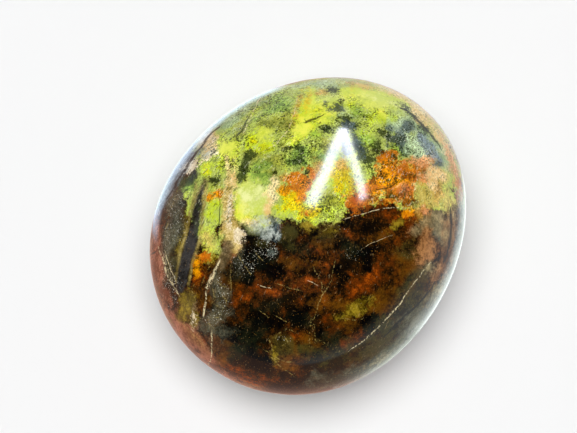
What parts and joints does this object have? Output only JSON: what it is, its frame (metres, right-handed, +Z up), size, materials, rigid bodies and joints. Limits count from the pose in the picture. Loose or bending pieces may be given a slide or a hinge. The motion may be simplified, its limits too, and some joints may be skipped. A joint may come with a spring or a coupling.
{
  "type": "palm stone",
  "caption": "Polished egg-shaped pebble of mottled green and brown stone that fills a palm and rests on a small flat spot.",
  "frame": {"origin": "middle of the small flat spot that the stone rests on", "axes": "+X along the stone's long axis towards its narrower end, +Z up through the crown"},
  "size_m": [0.084, 0.0722, 0.0455],
  "materials": {
    "polished_stone": "high polish, mottled lime, olive, rust and dark umber"
  },
  "bodies": {
    "root": {"palm_stone": "polished_stone"}
  },
  "joints": []
}
